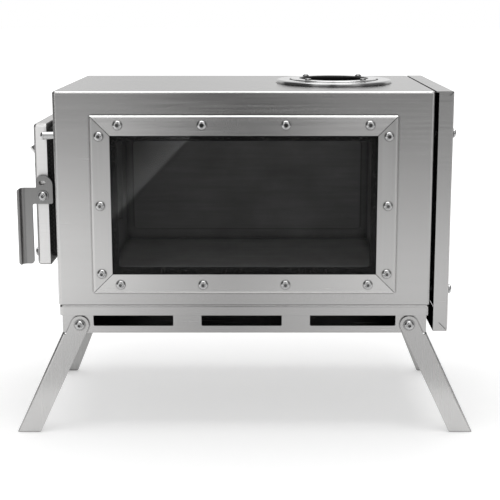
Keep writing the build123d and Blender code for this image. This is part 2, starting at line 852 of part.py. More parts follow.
# Cover on the right end: a tray with open slits at the corners, on spacers, whose top reaches the body
cover_inner_x = right + cover_gap
cover_outer_x = cover_inner_x + cover_thickness
cover_height = body_top - cover_bottom
cover_center = (middle, (body_top + cover_bottom) / 2)
with BuildPart() as right_end_cover:
    with BuildSketch(side_plane(cover_inner_x)):
        with Locations(cover_center):
            Rectangle(body_depth, cover_height)
    extrude(amount=cover_thickness)
    fillet(right_end_cover.edges().group_by(Axis.X)[-1], cover_bend_radius)
    offset(amount=-cover_sheet, openings=right_end_cover.faces().sort_by(Axis.X)[0])
    with BuildSketch(side_plane(right + seam)):
        with Locations((middle, body_top)):
            Rectangle(body_depth, cover_sheet, align=(Align.CENTER, Align.MAX))
    extrude(amount=cover_gap)
    with BuildSketch(side_plane(cover_outer_x - cover_sheet)):
        with Locations(*stud_places):
            Circle(m5_hole_radius)
    extrude(amount=cover_sheet, mode=Mode.SUBTRACT)
    with BuildSketch(front_plane(front - cut_past)):
        for level, tilt, length in (
            (body_top, -135, cover_slit_high),
            (cover_bottom, 135, cover_slit_low),
        ):
            with Locations(Location((cover_outer_x, level), tilt)):
                Rectangle(2 * length, cover_slit)
    extrude(amount=-(body_depth + 2 * cut_past), mode=Mode.SUBTRACT)
right_end_cover.part.label = "right_end_cover"
export_step(right_end_cover.part, "parts/right_end_cover.step")

# The cover's screws, with a spacer inside and a sleeve outside on each
stud_screw_length = stud_stand + cover_thickness + cover_gap + 2 * sheet + m5_nut_height
stud_screw = button_screw(m5_head_radius, m5_head_height, m5_shank_radius, stud_screw_length, m5_socket)
cover_sleeve = ring(stud_radius, m5_shank_radius, stud_stand)
cover_spacer = ring(stud_radius, m5_shank_radius, cover_gap + cover_thickness - cover_sheet)
with BuildPart() as end_cover_screws:
    with Locations(*facing((1, 0, 0), [(cover_outer_x + stud_stand, y, z) for y, z in stud_places])):
        add(stud_screw)
end_cover_screws.part.label = "end_cover_screws"
export_step(end_cover_screws.part, "parts/end_cover_screws.step")

with BuildPart() as end_cover_sleeves:
    with Locations(*facing((1, 0, 0), [(cover_outer_x, y, z) for y, z in stud_places])):
        add(cover_sleeve)
end_cover_sleeves.part.label = "end_cover_sleeves"
export_step(end_cover_sleeves.part, "parts/end_cover_sleeves.step")

with BuildPart() as end_cover_spacers:
    with Locations(*facing((1, 0, 0), [(right, y, z) for y, z in stud_places])):
        add(cover_spacer)
end_cover_spacers.part.label = "end_cover_spacers"
export_step(end_cover_spacers.part, "parts/end_cover_spacers.step")

with BuildPart() as end_cover_nuts:
    with Locations(*facing((-1, 0, 0), [(right - 2 * sheet, y, z) for y, z in stud_places])):
        add(m5_nut)
end_cover_nuts.part.label = "end_cover_nuts"
export_step(end_cover_nuts.part, "parts/end_cover_nuts.step")

# Post on the left end: a sleeve under a round-head screw
post_y = front + post_inset
left_nut_x = left + 2 * sheet
post_bolt = button_screw(
    post_head_radius,
    post_head_height,
    m5_shank_radius,
    post_length + 2 * sheet + m5_nut_height,
    m5_socket,
)
post_ring = ring(stud_radius, m5_shank_radius, post_length)
with BuildPart() as post_sleeve:
    with Locations(*facing((-1, 0, 0), [(left, post_y, post_height)])):
        add(post_ring)
post_sleeve.part.label = "post_sleeve"
export_step(post_sleeve.part, "parts/post_sleeve.step")

with BuildPart() as post_screw:
    with Locations(*facing((-1, 0, 0), [(left - post_length, post_y, post_height)])):
        add(post_bolt)
post_screw.part.label = "post_screw"
export_step(post_screw.part, "parts/post_screw.step")

# Keeper: a screw head beside the lever's nose
keeper_y = front + keeper_inset
keeper_bolt = button_screw(
    keeper_head_radius,
    m5_head_height,
    m5_shank_radius,
    2 * sheet + m5_nut_height,
    m5_socket,
)
with BuildPart() as latch_keeper:
    with Locations(*facing((-1, 0, 0), [(left, keeper_y, keeper_height)])):
        add(keeper_bolt)
latch_keeper.part.label = "latch_keeper"
export_step(latch_keeper.part, "parts/latch_keeper.step")

left_nut_places = [(left_nut_x, post_y, post_height), (left_nut_x, keeper_y, keeper_height)]
with BuildPart() as left_end_nuts:
    with Locations(*facing((1, 0, 0), left_nut_places)):
        add(m5_nut)
left_end_nuts.part.label = "left_end_nuts"
export_step(left_end_nuts.part, "parts/left_end_nuts.step")

# Door panel: a tray that stands off the left end, open towards the fire
door_x = left - door_outer_face
door_screw_places = [
    (door_front + door_screw_inset, door_bottom + door_screw_inset),
    (door_back - door_screw_inset, door_bottom + door_screw_inset),
    (door_front + door_high_screw_inset, door_top - door_screw_inset),
    (door_back - door_high_screw_inset, door_top - door_screw_inset),
]
slider_y = front + slider_front + slider_length / 2
slider_top = door_top - slider_high_inset
slider_bottom = slider_top - slider_height
intake_level = slider_bottom + intake_rise
slider_slot_length = slider_travel + 2 * slider_slot_radius + 2 * seam
slider_slot_top = slider_top - slider_slot_inset
slider_screw_level = slider_slot_top - slider_slot_radius - seam
slider_screw_places = [
    (slider_y + side * (slider_length / 2 - slider_slot_inset), slider_screw_level) for side in (-1, 1)
]
intake_places = [
    (slider_y + intake_spacing * (i - (intake_count - 1) / 2), intake_level) for i in range(intake_count)
]
lever_pivot_x = left - lever_pivot_out
with BuildPart() as door_panel:
    with BuildSketch(side_plane(door_x)):
        with Locations((door_y, door_z)):
            RectangleRounded(door_width, door_height, door_corner_radius)
    extrude(amount=door_flange)
    fillet(door_panel.edges().group_by(Axis.X)[0], door_bend_radius)
    offset(amount=-door_sheet, openings=door_panel.faces().sort_by(Axis.X)[-1])
    with BuildSketch(side_plane(door_x)):
        with Locations(*door_screw_places, *slider_screw_places):
            Circle(m5_hole_radius)
        with Locations(*intake_places):
            Circle(intake_radius)
    extrude(amount=door_sheet, mode=Mode.SUBTRACT)
    with BuildSketch(front_plane(door_front)):
        with Locations((lever_pivot_x, lever_pivot_height)):
            Circle(m5_hole_radius)
    extrude(amount=-door_sheet, mode=Mode.SUBTRACT)
door_panel.part.label = "door_panel"
export_step(door_panel.part, "parts/door_panel.step")

# Inner pan of the door: closes the tray towards the fire, with tabs on the panel's inner face
door_inner_x = door_x + door_sheet
door_mouth_x = door_x + door_flange
pan_width = door_width - 2 * (door_sheet + door_pan_gap)
pan_height = door_height - 2 * (door_sheet + door_pan_gap)
with BuildPart() as door_inner_pan:
    with BuildSketch(side_plane(door_mouth_x - door_sheet)):
        with Locations((door_y, door_z)):
            RectangleRounded(pan_width, pan_height, door_corner_radius)
        with Locations((door_front + door_sheet, lever_pivot_height)):
            Rectangle(2 * lever_nut_room, 2 * lever_nut_room, mode=Mode.SUBTRACT)
    extrude(amount=door_sheet)
    with BuildSketch(side_plane(door_inner_x)):
        with Locations(*door_screw_places):
            Rectangle(2 * door_tab, 2 * door_tab)
    extrude(amount=door_sheet)
    with BuildSketch(side_plane(door_inner_x)):
        for y, z in door_screw_places:
            with Locations((y, z - door_tab) if z < door_z else (y, z + door_tab)):
                Rectangle(2 * door_tab, door_sheet)
    extrude(amount=door_mouth_x - door_inner_x)
    with BuildSketch(side_plane(door_inner_x)):
        with Locations(*door_screw_places):
            Circle(m5_hole_radius)
    extrude(amount=door_sheet, mode=Mode.SUBTRACT)
door_inner_pan.part.label = "door_inner_pan"
export_step(door_inner_pan.part, "parts/door_inner_pan.step")

# Rope gasket on the inner pan, in line with the collar's rim
gasket_rise = door_outer_face - door_flange - collar_rim_height - seam
gasket_width_out = rim_width + sheet + door_gasket_width
gasket_height_out = rim_height + sheet + door_gasket_width
with BuildPart() as door_gasket:
    with BuildSketch(side_plane(door_mouth_x)):
        with Locations((door_y, door_z)):
            RectangleRounded(gasket_width_out, gasket_height_out, door_gasket_width)
            RectangleRounded(
                gasket_width_out - 2 * door_gasket_width,
                gasket_height_out - 2 * door_gasket_width,
                gasket_inner_radius,
                mode=Mode.SUBTRACT,
            )
    extrude(amount=gasket_rise)
    fillet(door_gasket.edges().group_by(Axis.X)[-1], gasket_edge_radius)
door_gasket.part.label = "door_gasket"
export_step(door_gasket.part, "parts/door_gasket.step")

# Screws of the inner pan, seated on washers
door_screw = button_screw(
    m5_head_radius,
    m5_head_height,
    m5_shank_radius,
    washer_height + 2 * door_sheet + m5_nut_height,
    m5_socket,
)
m5_washer = ring(washer_radius, m5_shank_radius, washer_height)
with BuildPart() as door_screws:
    with Locations(*facing((-1, 0, 0), [(door_x - washer_height, y, z) for y, z in door_screw_places])):
        add(door_screw)
door_screws.part.label = "door_screws"
export_step(door_screws.part, "parts/door_screws.step")

# Air slider: a plate over the intake holes that slides up on two screws, with a tab for a finger
slider_x = door_x - slider_gap - slider_sheet
slider_back_x = slider_x + slider_sheet
tab_front = front + slider_front + slider_tab_inset
tab_top = slider_top + slider_tab_rise
slot_middle = slider_slot_top - slider_slot_length / 2
with BuildPart() as air_slider:
    with BuildSketch(side_plane(slider_x)):
        with Locations((slider_y, slider_bottom + slider_height / 2)):
            RectangleRounded(slider_length, slider_height, slider_corner_radius)
        with Locations(*[(y, slot_middle) for y, _ in slider_screw_places]):
            SlotOverall(slider_slot_length, 2 * slider_slot_radius, rotation=90, mode=Mode.SUBTRACT)
    extrude(amount=slider_sheet)
    with BuildSketch(front_plane(tab_front)):
        with BuildLine():
            Polyline(
                (slider_x, slider_top - slider_tab_root),
                (slider_back_x, slider_top - slider_tab_root),
                (slider_back_x, slider_top + slider_tab_step),
                (slider_back_x - slider_tab_reach, tab_top),
                (slider_x - slider_tab_reach, tab_top - slider_tab_step),
                (slider_x, slider_top),
                close=True,
            )
        make_face()
    extrude(amount=-slider_tab_length)
air_slider.part.label = "air_slider"
export_step(air_slider.part, "parts/air_slider.step")

# The slider's guide screws, which go through its slots
guide_length = slider_gap + slider_sheet + slider_gap
guide_screw = button_screw(
    m5_head_radius,
    m5_head_height,
    m5_shank_radius,
    guide_length + door_sheet + m5_nut_height,
    m5_socket,
)
with BuildPart() as slider_screws:
    with Locations(*facing((-1, 0, 0), [(door_x - guide_length, y, z) for y, z in slider_screw_places])):
        add(guide_screw)
slider_screws.part.label = "slider_screws"
export_step(slider_screws.part, "parts/slider_screws.step")

# Hinges: brackets with two ears on the body, leaves with a barrel on the door, and pins
ear_level = hinge_barrel_height / 2 + hinge_ear_gap
ear_reach = left - bracket_sheet - hinge_x
with BuildPart() as hinge_brackets:
    for level in hinge_levels:
        with BuildSketch(side_plane(left)):
            with Locations((hinge_y, level)):
                Rectangle(2 * hinge_bracket_half_width, 2 * (ear_level + hinge_ear))
        extrude(amount=-bracket_sheet)
        for ear_bottom in (level + ear_level, level - ear_level - hinge_ear):
            with BuildSketch(Plane.XY.offset(ear_bottom)):
                with Locations((hinge_x, hinge_y)):
                    Circle(hinge_barrel_radius)
                with Locations((hinge_x + ear_reach / 2, hinge_y)):
                    Rectangle(ear_reach, 2 * hinge_barrel_radius)
                with Locations((hinge_x, hinge_y)):
                    Circle(hinge_pin_radius, mode=Mode.SUBTRACT)
            extrude(amount=hinge_ear)
hinge_brackets.part.label = "hinge_brackets"
export_step(hinge_brackets.part, "parts/hinge_brackets.step")

with BuildPart() as door_hinge_leaves:
    for level in hinge_levels:
        with BuildSketch(Plane.XY.offset(level - hinge_barrel_height / 2)):
            with Locations((hinge_x, hinge_y)):
                Circle(hinge_barrel_radius)
            with Locations((hinge_x, door_back)):
                Rectangle(hinge_leaf_width, door_sheet, align=(Align.CENTER, Align.MIN))
            with Locations((hinge_x, hinge_y)):
                Circle(hinge_pin_radius + running_gap, mode=Mode.SUBTRACT)
        extrude(amount=hinge_barrel_height)
door_hinge_leaves.part.label = "door_hinge_leaves"
export_step(door_hinge_leaves.part, "parts/door_hinge_leaves.step")

with BuildPart() as hinge_pins:
    for level in hinge_levels:
        with BuildSketch(Plane.XY.offset(level - ear_level - hinge_ear)):
            with Locations((hinge_x, hinge_y)):
                Circle(hinge_pin_radius)
        extrude(amount=2 * (ear_level + hinge_ear))
        for cap_bottom in (level + ear_level + hinge_ear, level - ear_level - hinge_ear - pin_cap_height):
            with BuildSketch(Plane.XY.offset(cap_bottom)):
                with Locations((hinge_x, hinge_y)):
                    Circle(pin_cap_radius)
            extrude(amount=pin_cap_height)
hinge_pins.part.label = "hinge_pins"
export_step(hinge_pins.part, "parts/hinge_pins.step")

# Latch lever: a plate that turns on the door's front flange, with a grip rolled at its edge
lever_back = door_front - washer_height - lever_gap
lever_front = lever_back - lever_sheet
lobe_left = left - lobe_left_out
lobe_right = left - lever_nose_out
lobe_top = lever_pivot_height + lobe_rise
lobe_bottom = lever_pivot_height - lobe_drop
arm_top = lever_pivot_height + arm_rise
grip_bottom = lever_pivot_height - grip_drop
grip_left = left - grip_left_out
grip_right = left - grip_right_out
grip_bend_x = grip_left + grip_roll_radius + seam
grip_height = arm_top - grip_bottom
with BuildPart() as latch_lever:
    with BuildSketch(front_plane(lever_back)):
        with BuildLine():
            FilletPolyline(
                (lobe_right, lobe_bottom),
                (lobe_right, lobe_top),
                (lobe_left, lobe_top),
                (lobe_left, arm_top),
                (grip_bend_x, arm_top),
                (grip_bend_x, grip_bottom),
                (grip_right, grip_bottom),
                (grip_right, lobe_bottom),
                radius=(
                    lever_nose_radius,
                    lobe_radius,
                    lobe_corner_radius,
                    lever_step_radius,
                    0,
                    0,
                    lever_inner_radius,
                    lever_inner_radius,
                ),
                close=True,
            )
        make_face()
        with Locations((lever_pivot_x, lever_pivot_height)):
            Circle(m5_shank_radius + running_gap, mode=Mode.SUBTRACT)
        with Locations((lever_pivot_x - lobe_slot_aside, lever_pivot_height + lobe_slot_rise)):
            SlotOverall(lobe_slot_length, lobe_slot_width, mode=Mode.SUBTRACT)
    extrude(amount=lever_sheet)
    with BuildSketch(Plane.XY.offset(grip_bottom)):
        with BuildLine():
            FilletPolyline(
                (grip_bend_x, lever_back),
                (grip_left, lever_back),
                (grip_left, lever_front - grip_fold),
                (grip_left + lever_sheet, lever_front - grip_fold),
                (grip_left + lever_sheet, lever_front),
                (grip_bend_x, lever_front),
                radius=(
                    0,
                    grip_roll_radius,
                    grip_edge_radius,
                    grip_edge_radius,
                    grip_roll_radius - lever_sheet,
                    0,
                ),
                close=True,
            )
        make_face()
    extrude(amount=grip_height)
    with BuildSketch(front_plane(lever_front - grip_fold)):
        for level, inner_level in (
            (arm_top, arm_top - grip_corner_radius),
            (grip_bottom, grip_bottom + grip_corner_radius),
        ):
            with Locations((grip_left, level)):
                Rectangle(2 * grip_corner_radius, 2 * grip_corner_radius)
            with Locations((grip_left + grip_corner_radius, inner_level)):
                Circle(grip_corner_radius, mode=Mode.SUBTRACT)
    extrude(amount=-(grip_fold + lever_sheet), mode=Mode.SUBTRACT)
latch_lever.part.label = "latch_lever"
export_step(latch_lever.part, "parts/latch_lever.step")

# The lever's pivot screw, and washers under the lever, under that screw and under the door's screws
outer_washer_back = lever_front - lever_gap
pivot_head_y = outer_washer_back - washer_height
lever_screw = button_screw(
    m5_head_radius,
    m5_head_height,
    m5_shank_radius,
    door_front + door_sheet + m5_nut_height - pivot_head_y,
    m5_socket,
)
with BuildPart() as latch_pivot:
    with Locations(*facing((0, -1, 0), [(lever_pivot_x, pivot_head_y, lever_pivot_height)])):
        add(lever_screw)
latch_pivot.part.label = "latch_pivot"
export_step(latch_pivot.part, "parts/latch_pivot.step")

pivot_washer_places = [
    (lever_pivot_x, door_front, lever_pivot_height),
    (lever_pivot_x, outer_washer_back, lever_pivot_height),
]
with BuildPart() as door_washers:
    with Locations(*facing((0, -1, 0), pivot_washer_places)):
        add(m5_washer)
    with Locations(*facing((-1, 0, 0), [(door_x, y, z) for y, z in door_screw_places])):
        add(m5_washer)
door_washers.part.label = "door_washers"
export_step(door_washers.part, "parts/door_washers.step")

# Nuts inside the door, for the pan's screws, the slider's and the lever's
with BuildPart() as door_nuts:
    with Locations(*facing((1, 0, 0), [(door_inner_x + door_sheet, y, z) for y, z in door_screw_places])):
        add(m5_nut)
    with Locations(*facing((1, 0, 0), [(door_inner_x, y, z) for y, z in slider_screw_places])):
        add(m5_nut)
    with Locations(*facing((0, 1, 0), [(lever_pivot_x, door_front + door_sheet, lever_pivot_height)])):
        add(m5_nut)
door_nuts.part.label = "door_nuts"
export_step(door_nuts.part, "parts/door_nuts.step")

# Folding legs: straps with a flange, cut level at the ground


def folding_leg(pivot, inward, side, splay):
    """Leg on its pivot; inward points into the tray, side is -1 or 1 for the left or right leg."""
    along = Vector(side * sin(radians(splay)), 0, -cos(radians(splay)))
    leg_plane = Plane(origin=pivot, x_dir=along, z_dir=inward)
    flange_start = leg_plane.from_local_coords((leg_notch, 0, 0))
    flange_plane = Plane(origin=flange_start, x_dir=leg_plane.y_dir, z_dir=along)
    reach = (pivot[2] + leg_flange_offset) / cos(radians(splay))
    with BuildPart() as leg:
        with BuildSketch(leg_plane):
            Circle(leg_head_radius)
            with Locations((leg_notch / 2, 0)):
                Rectangle(leg_notch, 2 * leg_head_radius)
        extrude(amount=leg_sheet)
        with BuildSketch(flange_plane):
            with BuildLine():
                FilletPolyline(
                    (-leg_head_radius, 0),
                    (leg_flange_offset, 0),
                    (leg_flange_offset, leg_flange_depth),
                    (leg_flange_offset - leg_sheet, leg_flange_depth),
                    (leg_flange_offset - leg_sheet, leg_sheet),
                    (-leg_head_radius, leg_sheet),
                    radius=(0, leg_bend_radius, 0, 0, leg_bend_radius - leg_sheet, 0),
                    close=True,
                )
            make_face()
        extrude(amount=reach)
        with BuildSketch(leg_plane):
            Circle(m5_shank_radius + running_gap)
        extrude(amount=leg_sheet, mode=Mode.SUBTRACT)
        split(bisect_by=Plane.XY, keep=Keep.TOP)
        foot_edges = leg.edges().filter_by(Axis.Y).group_by(Axis.Z)[0].sort_by(Axis.X)
        fillet(foot_edges[-1] if side < 0 else foot_edges[0], leg_foot_radius)
    return leg.part


front_leg_y = tray_front - seam - leg_sheet
back_leg_y = tray_back + seam + leg_sheet
front_leg = folding_leg((-leg_pivot_x, front_leg_y, leg_pivot_height), (0, 1, 0), -1, front_splay)
back_leg = folding_leg((leg_pivot_x, back_leg_y, leg_pivot_height), (0, -1, 0), 1, back_splay)
with BuildPart() as leg_front_left:
    add(front_leg)
leg_front_left.part.label = "leg_front_left"
export_step(leg_front_left.part, "parts/leg_front_left.step")

with BuildPart() as leg_front_right:
    mirror(front_leg, about=Plane.YZ)
leg_front_right.part.label = "leg_front_right"
export_step(leg_front_right.part, "parts/leg_front_right.step")

with BuildPart() as leg_rear_right:
    add(back_leg)
leg_rear_right.part.label = "leg_rear_right"
export_step(leg_rear_right.part, "parts/leg_rear_right.step")

with BuildPart() as leg_rear_left:
    mirror(back_leg, about=Plane.YZ)
leg_rear_left.part.label = "leg_rear_left"
export_step(leg_rear_left.part, "parts/leg_rear_left.step")

# Pivot screws of the legs, each with a washer under its head and a nut inside the tray
leg_screw_length = washer_height + 2 * seam + leg_sheet + sheet + m5_nut_height
leg_screw = button_screw(m5_head_radius, m5_head_height, m5_shank_radius, leg_screw_length, m5_socket)
leg_sides = (((0, -1, 0), tray_front, -1), ((0, 1, 0), tray_back, 1))
with BuildPart() as leg_pivot_screws:
    for outward, wall_y, sign in leg_sides:
        seat_y = wall_y + sign * (2 * seam + leg_sheet + washer_height)
        with Locations(*facing(outward, [(x, seat_y, z) for x, z in leg_pivots])):
            add(leg_screw)
leg_pivot_screws.part.label = "leg_pivot_screws"
export_step(leg_pivot_screws.part, "parts/leg_pivot_screws.step")

with BuildPart() as leg_washers:
    for outward, wall_y, sign in leg_sides:
        seat_y = wall_y + sign * (2 * seam + leg_sheet)
        with Locations(*facing(outward, [(x, seat_y, z) for x, z in leg_pivots])):
            add(m5_washer)
leg_washers.part.label = "leg_washers"
export_step(leg_washers.part, "parts/leg_washers.step")

with BuildPart() as leg_nuts:
    for outward, wall_y, sign in leg_sides:
        inner_y = wall_y - sign * sheet
        inward = tuple(-component for component in outward)
        with Locations(*facing(inward, [(x, inner_y, z) for x, z in leg_pivots])):
            add(m5_nut)
leg_nuts.part.label = "leg_nuts"
export_step(leg_nuts.part, "parts/leg_nuts.step")
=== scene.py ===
import math

import bpy
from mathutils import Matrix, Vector


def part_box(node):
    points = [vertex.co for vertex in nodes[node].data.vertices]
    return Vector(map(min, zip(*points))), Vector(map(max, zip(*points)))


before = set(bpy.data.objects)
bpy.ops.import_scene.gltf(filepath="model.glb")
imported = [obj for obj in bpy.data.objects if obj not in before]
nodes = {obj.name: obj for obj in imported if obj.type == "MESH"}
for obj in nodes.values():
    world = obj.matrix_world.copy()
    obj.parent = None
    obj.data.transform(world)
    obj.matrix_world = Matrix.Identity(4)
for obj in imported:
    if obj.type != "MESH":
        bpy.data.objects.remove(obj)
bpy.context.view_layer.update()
front_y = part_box("body_shell")[0].y

MM = 0.001


# Node helpers


def feed(tree, value, socket):
    """Join an output to the socket, or set a number, vector or colour on it."""
    if isinstance(value, bpy.types.NodeSocket):
        tree.links.new(value, socket)
    else:
        socket.default_value = value


def bare_material(name):
    """A material with nothing in its tree but the output, whose surface socket comes with it."""
    material = bpy.data.materials.new(name)
    material.use_nodes = True
    tree = material.node_tree
    tree.nodes.clear()
    output = tree.nodes.new("ShaderNodeOutputMaterial")
    return material, tree, output.inputs["Surface"]


def shaded_material(name):
    """A material with a Principled shader that is already joined to the output."""
    material, tree, surface = bare_material(name)
    shader = tree.nodes.new("ShaderNodeBsdfPrincipled")
    tree.links.new(shader.outputs["BSDF"], surface)
    return material, tree, shader


def arithmetic(tree, operation, first, second=0.0):
    """The sum, product or the like of two numbers."""
    node = tree.nodes.new("ShaderNodeMath")
    node.operation = operation
    feed(tree, first, node.inputs[0])
    feed(tree, second, node.inputs[1])
    return node.outputs["Value"]


def vector_math(tree, operation, first, second=(0.0, 0.0, 0.0), result="Vector"):
    """The sum, product or the like of two vectors."""
    node = tree.nodes.new("ShaderNodeVectorMath")
    node.operation = operation
    feed(tree, first, node.inputs[0])
    feed(tree, second, node.inputs[1])
    return node.outputs[result]


def scaled(tree, colour, share):
    """That share of the colour."""
    node = tree.nodes.new("ShaderNodeVectorMath")
    node.operation = "SCALE"
    feed(tree, colour, node.inputs[0])
    feed(tree, share, node.inputs["Scale"])
    return node.outputs["Vector"]


def on_piece(tree, output="Object"):
    """The point or the normal in the piece's own coordinates, in metres."""
    return tree.nodes.new("ShaderNodeTexCoord").outputs[output]


def split(tree, vector):
    """The vector's three numbers, by their axis."""
    apart = tree.nodes.new("ShaderNodeSeparateXYZ")
    tree.links.new(vector, apart.inputs["Vector"])
    return apart.outputs


def stretched(tree, scale):
    """The point on the piece, stretched by scale along each axis."""
    mapping = tree.nodes.new("ShaderNodeMapping")
    mapping.inputs["Scale"].default_value = scale
    tree.links.new(on_piece(tree), mapping.inputs["Vector"])
    return mapping.outputs["Vector"]


def noise(tree, scale, detail=2.0, roughness=0.5):
    """A noise from 0 to 1 whose grains per metre are scale along each axis."""
    texture = tree.nodes.new("ShaderNodeTexNoise")
    texture.inputs["Scale"].default_value = 1.0
    texture.inputs["Detail"].default_value = detail
    texture.inputs["Roughness"].default_value = roughness
    tree.links.new(stretched(tree, scale), texture.inputs["Vector"])
    return texture.outputs["Fac"]


def between(tree, value, low, high, start=0.3, end=0.7):
    """A number that goes from low to high while value goes from start to end."""
    spread = tree.nodes.new("ShaderNodeMapRange")
    spread.inputs["From Min"].default_value = start
    spread.inputs["From Max"].default_value = end
    spread.inputs["To Min"].default_value = low
    spread.inputs["To Max"].default_value = high
    tree.links.new(value, spread.inputs["Value"])
    return spread.outputs["Result"]


def blend_colour(tree, factor, first, second):
    """A colour that goes from first to second while factor goes from 0 to 1."""
    mix = tree.nodes.new("ShaderNodeMix")
    mix.data_type = "RGBA"
    feed(tree, factor, mix.inputs["Factor"])
    feed(tree, first, mix.inputs["A"])
    feed(tree, second, mix.inputs["B"])
    return mix.outputs["Result"]


def bump(tree, shader, height, distance, strength):
    """The surface's small relief, distance metres deep."""
    relief = tree.nodes.new("ShaderNodeBump")
    relief.inputs["Distance"].default_value = distance
    relief.inputs["Strength"].default_value = strength
    tree.links.new(height, relief.inputs["Height"])
    tree.links.new(relief.outputs["Normal"], shader.inputs["Normal"])


def grey(level, warmth=0.0):
    """A grey of that level, a little warmer or cooler."""
    return (level * (1 + warmth), level, level * (1 - warmth), 1.0)


# Materials


GRAIN_X, GRAIN_Y, GRAIN_Z = 0, 1, 2

# Grains per metre, across and along the brushing
STREAK_GRAINS = (420.0, 9.0)
HAIR_GRAINS = (2600.0, 30.0)
GRAIN_SLANT = 0.03

# Grains per metre along each axis
CLOUD_GRAINS = (14.0,) * 3
SOOT_GRAINS = (16.0,) * 3
HAZE_GRAINS = (22.0,) * 3
SPECK_GRAINS = (900.0,) * 3
ROLLED_GRAINS = (300.0,) * 3
ROLLING_GRAINS = (12.0, 260.0, 260.0)

STEEL_TONE = 0.58
STEEL_WARMTH = 0.008
STEEL_EDGE = (0.72, 0.72, 0.72)
STREAK_CONTRAST = 0.025
CLOUD_SHARE = 0.35
CLOUD_SPAN = (0.35, 0.65)
CLOUD_TONE = 0.97
SHEEN_SPREAD = 0.035
HAIR_DEPTH = 0.015 * MM
HAIR_STRENGTH = 0.15

# Painted shade in seams and gaps: how near another face has to be for it, and the share of the colour
# that is left
SEAM_SHADE = (2.5 * MM, 0.25)
SCREW_SEAM_SHADE = (2.5 * MM, 0.25 / 3)
# The right end cover: near black painted shade reaching far into the gap beside the body.
COVER_GAP_SHADE = (40 * MM, 0.03)
FIREBOX_SHADE_REACH = 14 * MM
SHADE_SAMPLES = 12
# The open share of the surroundings at which the painted shade is full, and at which there is none
SHADE_SPAN = (0.35, 0.9)
# A normal's Y where a face looks to the front and has no painted shade, and where it is turned away and
# has the full painted shade
SIDE_SHADE_SPAN = (-0.97, -0.75)

TURNED_TONE = 0.93
TURNED_SMOOTHER = 0.04
TURNED_ROUGHER = 0.05
TURNED_DEPTH = 0.01 * MM
TURNED_STRENGTH = 0.15

PLATE_CONTRAST = 0.1
SOOT_SHARE = 0.6
SOOT_TONE = 0.6
SOOT_WARMTH = 0.02
SOOT_ROUGHNESS = (0.45, 0.65)
HEATED_METALLIC = 0.25
HEATED_SPECULAR = 0.35
SCALE_DEPTH = 0.05 * MM
SCALE_STRENGTH = 0.3

FLUE_BORE = 35.0 * MM
# How far outside the bore the black ends
BORE_BLACK_EDGE = (2.2 * MM, 2.9 * MM)
ROLLED_TONE = 0.95
COLLAR_ROUGHNESS = 0.22
BORE_BLACK_TONE = 0.004
BORE_BLACK_ROUGHNESS = 0.45
BORE_BLACK_SPECULAR = 0.15

WEAVE_SCALE = 0.35
WEAVE_DISTORTION = 1.2
# Painted shade on the threads' sides and painted highlight on their tops, as shares of the fibre's tone
WEAVE_SHADE_SHARES = (0.4, 1.4)
THREAD_WARMTH = 0.02
FLECK_COLOUR = (0.55, 0.03)
FLECK_SPAN = (0.05, 0.22)
FIBRE_ROUGHNESS = 0.85
FIBRE_SPECULAR = 0.2
WEAVE_DEPTH = 0.3 * MM
WEAVE_STRENGTH = 0.6

SMOKE_TONES = (0.004, 0.012)
SMOKE_ALPHA = (0.13, 0.17)
GLASS_ROUGHNESS = (0.01, 0.03)
GLASS_SPECULAR = 0.5


def painted_crease_shade(tree, colour, reach, depth):
    """The colour, down to depth of it where another face stands closer than reach: painted shade
    in seams, gaps and corners."""
    shade = tree.nodes.new("ShaderNodeAmbientOcclusion")
    shade.samples = SHADE_SAMPLES
    shade.inputs["Distance"].default_value = reach
    return scaled(tree, colour, between(tree, shade.outputs["AO"], depth, 1.0, *SHADE_SPAN))


def painted_side_shade(tree, colour, share):
    """The colour, down to that share of it on faces that do not look to the front: painted shade on the
    sides turned from the light.
    """
    to_back = split(tree, on_piece(tree, "Normal"))["Y"]
    return scaled(tree, colour, between(tree, to_back, 1.0, share, *SIDE_SHADE_SPAN))


def along_grain(sizes, grain):
    """The noise scale whose second size is along the grain axis and whose first is across it."""
    across, along = sizes
    scale = [across] * 3
    scale[grain] = along
    return scale


def grain_tangent(tree, grain):
    """The direction across the grain on each face, for the gloss to spread along."""
    along = [GRAIN_SLANT, GRAIN_SLANT / 2, GRAIN_SLANT / 3]
    along[grain] = 1.0
    turn = tree.nodes.new("ShaderNodeVectorTransform")
    turn.vector_type = "VECTOR"
    turn.convert_from = "OBJECT"
    turn.convert_to = "WORLD"
    turn.inputs["Vector"].default_value = along
    normal = tree.nodes.new("ShaderNodeNewGeometry").outputs["Normal"]
    return vector_math(tree, "CROSS_PRODUCT", turn.outputs["Vector"], normal)


